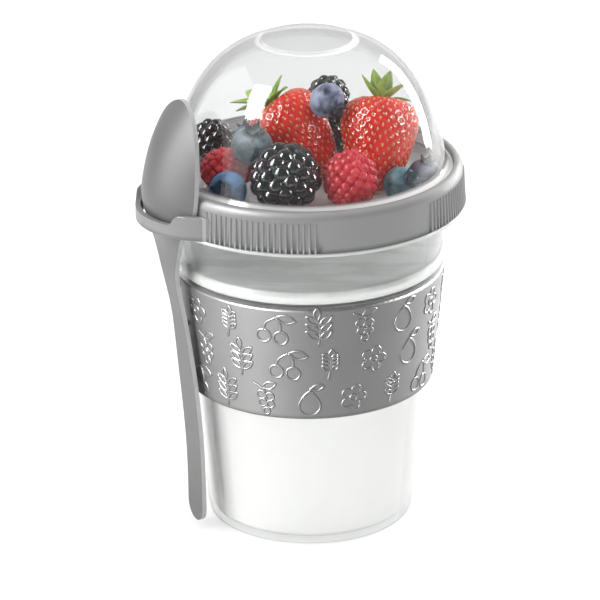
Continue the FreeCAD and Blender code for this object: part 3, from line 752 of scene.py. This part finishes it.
def star_of_leaves(name, hub, axis, leaves, material):
    """Leaves on a hub: each follows a curve of rise over reach and has a pointed, folded blade.

    leaves holds (turn, length, width, lift at the foot, lift at the tip) with angles in degrees.
    """
    stations, across = 14, np.linspace(-1, 1, 7)
    s = np.linspace(0, 1, stations)
    points, faces, marks = [], [], []
    for turn, length, width, lift, tip_lift in leaves:
        slope = np.radians(lift + (tip_lift - lift) * s)
        step = length / (stations - 1)
        reach = np.concatenate([[0], np.cumsum(step * np.cos(slope[:-1]))])
        rise = np.concatenate([[0], np.cumsum(step * np.sin(slope[:-1]))])
        half = width / 2 * np.sin(np.pi * np.clip(s * 0.93 + 0.07, 0, 1) ** 0.8) ** 0.8 + 0.00004
        y = half[:, None] * across
        fold = 0.35 * half[:, None] * across**2
        x = reach[:, None] - np.sin(slope)[:, None] * fold
        z = rise[:, None] + np.cos(slope)[:, None] * fold
        c, d = np.cos(np.radians(turn)), np.sin(np.radians(turn))
        blade = np.stack([x * c - y * d, x * d + y * c, z + 0 * y], axis=-1)
        under = blade - np.array([0, 0, LEAF_THICK])
        base = sum(len(p) for p in points)
        ring = np.concatenate([blade, under[:, ::-1]], axis=1)
        around = ring.shape[1]
        index = base + np.arange(stations * around).reshape(stations, around)
        on = np.roll(index, -1, axis=1)
        faces += np.stack([index[:-1], on[:-1], on[1:], index[1:]], axis=-1).reshape(-1, 4).tolist()
        faces += [index[0, ::-1].tolist(), index[-1].tolist()]
        points.append(ring.reshape(-1, 3))
        width_mark = np.concatenate([across, across[::-1]]) * 0.5 + 0.5
        mark = np.broadcast_arrays(s[:, None], width_mark[None])
        marks.append(np.stack(mark, axis=-1).reshape(-1, 2))
    piece = made(name, turned_to(np.vstack(points), axis) + hub, faces, material)
    marks = np.vstack(marks)
    corners = np.empty(len(piece.data.loops), dtype=np.int64)
    piece.data.loops.foreach_get("vertex_index", corners)
    layer = piece.data.uv_layers.new(name="blade")
    layer.data.foreach_set("uv", marks[corners].ravel())
    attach(piece, "root")
    return piece


SEEDS = 430
FLESH_AROUND = 220
PIT_DEEP = 0.00042
PIT_WIDE = 0.00072
SEED_SUNK = 0.00022
SEED_HALF = (0.00062, 0.00036, 0.00022)


def strawberry(side, size, place, axis, leaves):
    """Turned heart profile, pushed in at each seed by a pit: depth x exp(-(d / width)^2)."""
    heart = [(0, -1.344), (0.33, -1.24), (0.70, -0.74), (0.95, 0.03), (1.0, 0.50), (0.86, 0.86)]
    heart += [(0.52, 1.04), (0, 0.98)]
    profile = size * eased(np.array(heart), 170)
    profile = profile[1:-1]
    profile[:, 0] = np.maximum(profile[:, 0], 1e-5)
    seats, out = spiral_seats(profile, SEEDS)
    down = np.array([0.0, 0.0, -1.0]) + 0 * out
    skin = lathe(profile, FLESH_AROUND)
    flat = skin.reshape(-1, 3)
    near = np.full(len(flat), 9.0)
    for part in np.array_split(np.arange(len(flat)), 40):
        gap = flat[part, None, :] - seats[None]
        near[part] = (gap**2).sum(-1).min(1)
    bell = np.exp(-near / PIT_WIDE**2)
    slope = np.gradient(profile, axis=0)
    slope /= np.hypot(slope[:, 0], slope[:, 1])[:, None]
    turn = np.linspace(0, 2 * np.pi, FLESH_AROUND, endpoint=False)
    outward, upward = slope[:, 1:], -slope[:, :1]
    normal = [outward * np.cos(turn), outward * np.sin(turn), upward + 0 * turn]
    normal = np.stack(normal, axis=-1)
    pits = flat - PIT_DEEP * bell[:, None] * normal.reshape(-1, 3)
    points, faces = closed_skin(pits.reshape(skin.shape))
    points = turned_to(points, axis) + place
    flesh = made("strawberry_flesh_" + side, points, faces, flesh_red.material)
    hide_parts("strawberry_" + side)
    sunk = seats - SEED_SUNK * out
    seeds, seed_faces = skins(drops(sunk, out, down, *SEED_HALF, 5, 7))
    seeds = turned_to(seeds, axis) + place
    grains = made("strawberry_seeds_" + side, seeds, seed_faces, seed_gold.material)
    hub = turned_to(np.array([[0, 0, 0.97 * size]]), axis)[0] + place
    star_of_leaves("strawberry_leaves_" + side, hub, axis, leaves, bright_leaf)
    for piece in (flesh, grains):
        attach(piece, "root")
        spark_lit.objects.link(piece)


strawberry(
    "left",
    0.0122,
    np.array([-0.0036, -0.0002, TRAY_FLOOR + 0.0142]),
    (-0.58, 0.28, 0.76),
    [
        (170, 0.0138, 0.0076, 40, 36),
        (125, 0.0125, 0.0070, 46, 40),
        (215, 0.0130, 0.0074, 28, 18),
        (80, 0.0110, 0.0054, 30, 10),
        (20, 0.0100, 0.0064, 40, 34),
        (-40, 0.0100, 0.0054, 25, -8),
        (-100, 0.0095, 0.0054, 12, -18),
    ],
)
strawberry(
    "right",
    0.0120,
    np.array([0.0216, -0.0056, TRAY_FLOOR + 0.0147]),
    (0.08, 0.48, 0.87),
    [
        (190, 0.0105, 0.0050, 38, 66),
        (235, 0.0110, 0.0054, 50, 70),
        (290, 0.0110, 0.0050, 52, 60),
        (335, 0.0100, 0.0048, 35, 40),
        (20, 0.0100, 0.0048, 15, 5),
        (75, 0.0100, 0.0048, 10, -8),
        (135, 0.0105, 0.0048, 15, 0),
    ],
)


# ---- Brambles and raspberries ----------------------------------------------------------------
# Aggregate fruits: a ball of juicy drupelets round a core. The brambles are glossy and nearly
# black, the raspberries softer, matt and covered with a few pale hairs.

DRUPELET_ROWS = 10
DRUPELET_AROUND = 14
CORE_SHARE = 0.86


def drupelets(name, node, count, swell, jitter, seed, material):
    """Drupelets a golden angle apart on the ellipsoid in the node's box, nudged a little."""
    low, high = (np.array(c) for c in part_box(node))
    centre, half = (low + high) / 2, (high - low) / 2
    rng = np.random.default_rng(seed)
    rise = 1 - 2 * (np.arange(count) + 0.5) / count
    turn = np.arange(count) * np.pi * (3 - np.sqrt(5))
    flat = np.sqrt(1 - rise**2)
    way = np.stack([flat * np.cos(turn), flat * np.sin(turn), rise], axis=-1)
    way += rng.normal(0, jitter / np.sqrt(count), way.shape)
    way /= np.linalg.norm(way, axis=-1, keepdims=True)
    ball = np.sqrt(3.6 / count) * swell * (1 + rng.normal(0, 0.05, count))
    size = half.min()
    seats = way * (half - 0.92 * ball[:, None] * size)
    lift = np.linspace(-1.45, 1.45, DRUPELET_ROWS)[:, None]
    around = np.linspace(0, 2 * np.pi, DRUPELET_AROUND, endpoint=False)[None, :]
    unit = [np.cos(lift) * np.cos(around), np.cos(lift) * np.sin(around), np.sin(lift) + 0 * around]
    unit = np.stack(unit, axis=-1)
    grids = seats[:, None, None] + (ball * size)[:, None, None, None] * unit[None]
    core = lathe(np.stack([np.cos(lift[:, 0]), np.sin(lift[:, 0])], axis=-1), DRUPELET_AROUND)
    core = core * half * CORE_SHARE
    points, faces = skins(np.concatenate([grids, core[None]]))
    piece = made(name, points + centre, faces, material)
    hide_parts(node)
    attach(piece, "root")
    return piece, seats + centre + way * (ball * size)[:, None], way


def juicy(name, deep, bright, roughness, coat, through):
    """Berry skin whose colour drifts between two tones from drupelet to drupelet."""
    juice = Finish(name)
    drift = juice.noise(230.0, 2.0)
    fine = juice.noise(1600.0, 2.0)
    return juice.done(
        juice.shader(
            {
                "Base Color": juice.blend(drift.step(0.35, 0.68), deep, bright),
                "Roughness": fine * 0.12 + roughness,
                "Coat Weight": coat,
                "Subsurface Weight": through,
                "Subsurface Radius": (0.002, 0.0005, 0.0005),
                "Normal": juice.bump(fine, 0.1, 0.00012),
            }
        )
    )


bramble_black = juicy("bramble_black", (0.005, 0.014, 0.011), (0.026, 0.010, 0.018), 0.07, 0.7, 0.0)
raspberry_red = juicy("raspberry_red", (0.50, 0.008, 0.020), (0.72, 0.05, 0.07), 0.30, 0.0, 0.12)
for node, count, seed in (("front", 58, 3), ("left", 46, 5), ("top", 46, 8), ("back", 50, 13)):
    piece, _, _ = drupelets(
        "bramble_fruit_" + node, "bramble_" + node, count, 1.1, 0.10, seed, bramble_black
    )
    spark_lit.objects.link(piece)

HAIRS_EACH = 3
HAIR_LONG = 0.00055
HAIR_THIN = 0.00003
HAIR_SCATTER = 0.00035
hair_pale = juicy("hair_pale", (0.75, 0.50, 0.45), (0.80, 0.60, 0.54), 0.5, 0.0, 0.0)
for node, count, seed in (("front", 105, 21), ("left", 95, 22), ("back", 90, 23)):
    piece, tips, way = drupelets(
        "raspberry_fruit_" + node, "raspberry_" + node, count, 1.12, 0.08, seed, raspberry_red
    )
    rng = np.random.default_rng(seed + 50)
    lean = np.repeat(way, HAIRS_EACH, axis=0) + rng.normal(0, 0.4, (HAIRS_EACH * count, 3))
    lean /= np.linalg.norm(lean, axis=-1, keepdims=True)
    foot = np.repeat(tips, HAIRS_EACH, axis=0) + rng.normal(0, HAIR_SCATTER, lean.shape)
    across = np.cross(lean, (0.31, 0.27, 0.91))
    across /= np.linalg.norm(across, axis=-1, keepdims=True)
    spindles = drops(foot + 0.0003 * lean, across, lean, HAIR_LONG, HAIR_THIN, HAIR_THIN, 4, 5)
    hairs = made("raspberry_hairs_" + node, *skins(spindles), hair_pale)
    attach(hairs, "root")


# ---- Dark berries ----------------------------------------------------------------------------
# Round blue berries with a pale bloom of wax that is rubbed thin in places. Each has a crater with
# a five-pointed crown where its flower sat.

def bloomed(name, bare, bloom, deep):
    """Waxy skin: bloom over a bare dark skin, thin in smears, and darker still round and in the
    crater.
    """
    wax = Finish(name)
    cloud = wax.noise(110.0, 5.0)
    smear = wax.noise(420.0, 4.0)
    pores = wax.noise(2600.0, 2.0)
    cover = (cloud * 0.7 + smear * 0.3).step(0.38, 0.58)
    skin = wax.blend(cover, bare, bloom)
    crown = wax.node("ShaderNodeAttribute", {"attribute_name": "crown"}).out("Fac")
    skin = wax.blend(crown * (smear * 0.6 + 0.55), skin, deep)
    return wax.done(
        wax.shader(
            {
                "Base Color": wax.blend(smear.step(0.62, 0.8) * 0.6, skin, deep),
                "Roughness": cover * 0.25 + 0.33,
                "Normal": wax.bump(pores * 0.5 + smear * 0.5, 0.2, 0.00015),
            }
        )
    )


BERRY_AROUND = 100
BALL_ROWS = 56
LOBES = 5


def dark_berry(name, axis, bare, bloom):
    """Flattened ball whose profile climbs a lip of five lobes and drops into a crater."""
    node = "dark_berry_" + name
    low, high = (np.array(c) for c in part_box(node))
    size = (high - low).max() / 2
    lift = np.linspace(-1.54, 1.13, BALL_ROWS)
    ball = np.stack([np.cos(lift), 0.9 * np.sin(lift)], axis=-1)
    lip = [(0.385, 0.84), (0.39, 0.86), (0.40, 0.88), (0.37, 0.88), (0.34, 0.86), (0.30, 0.80)]
    crater = [(0.26, 0.75), (0.20, 0.72), (0.13, 0.71), (0.08, 0.72), (0.05, 0.75), (0.02, 0.76)]
    profile = np.vstack([ball, lip, crater])
    grid = lathe(profile, BERRY_AROUND)
    turn = np.linspace(0, 2 * np.pi, BERRY_AROUND, endpoint=False)
    lobe = (0.5 + 0.5 * np.cos(LOBES * turn)) ** 1.5
    up = np.zeros(len(profile))
    up[BALL_ROWS : BALL_ROWS + len(lip)] = [0.05, 0.45, 1.0, 1.0, 0.5, 0.15]
    grid[..., 2] += 0.25 * up[:, None] * lobe
    grid[..., :2] *= 1 + 0.34 * (up[:, None] * lobe)[..., None]
    points, faces = closed_skin(grid * size)
    points = turned_to(points, axis)
    middle = (points.max(0) + points.min(0)) / 2
    material = bloomed("berry_skin_" + name, bare, bloom, tuple(c * 0.25 for c in bare))
    piece = made("berry_" + name, points - middle + (low + high) / 2, faces, material)
    row = np.arange(len(profile)) - BALL_ROWS
    crown = np.repeat(np.interp(row, [-5, -1, 6, 11], [0.0, 1.0, 0.9, 0.4]), BERRY_AROUND)
    mark = piece.data.attributes.new("crown", "FLOAT", "POINT")
    mark.data.foreach_set("value", np.append(crown, [0.0, 0.3]))
    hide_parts(node)
    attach(piece, "root")


for name, axis, bare, bloom in (
    ("low_left", (-0.38, -0.86, 0.32), (0.008, 0.032, 0.095), (0.095, 0.250, 0.470)),
    ("left", (0.1, -0.25, 0.95), (0.060, 0.095, 0.120), (0.290, 0.360, 0.400)),
    ("top", (0.62, -0.55, -0.45), (0.022, 0.028, 0.065), (0.310, 0.355, 0.500)),
    ("right", (0.58, -0.48, 0.64), (0.008, 0.038, 0.065), (0.115, 0.270, 0.330)),
    ("far_right", (0.2, -0.1, 0.97), (0.020, 0.021, 0.050), (0.190, 0.200, 0.290)),
    ("back_left", (-0.3, 0.5, 0.8), (0.030, 0.060, 0.140), (0.140, 0.230, 0.380)),
    ("back_right", (0.5, 0.5, 0.7), (0.025, 0.060, 0.140), (0.120, 0.220, 0.360)),
):
    dark_berry(name, axis, bare, bloom)
